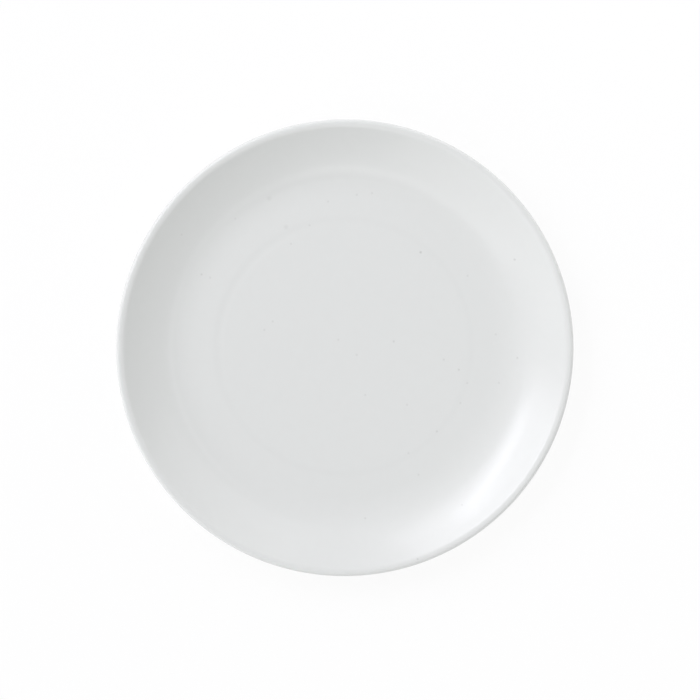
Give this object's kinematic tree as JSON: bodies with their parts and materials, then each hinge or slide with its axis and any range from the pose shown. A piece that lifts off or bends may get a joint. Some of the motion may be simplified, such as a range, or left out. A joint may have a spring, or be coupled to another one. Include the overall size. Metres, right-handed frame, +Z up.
{
  "type": "coupe dinner plate",
  "caption": "Round coupe dinner plate: flat well, coved edge rising to a flared border with a rolled rim, low foot ring, white glaze with fine specks and a bare standing band.",
  "frame": {"origin": "centre of the foot ring's standing band, on the surface the plate stands on", "axes": "+Z up through the middle of the well; the plate is round, so X and Y are free"},
  "size_m": [0.273, 0.273, 0.023],
  "materials": {
    "clay": "matte",
    "glaze": "satin"
  },
  "bodies": {
    "root": {"clay_body": "clay", "face_glaze": "glaze", "base_glaze": "glaze"}
  },
  "joints": []
}
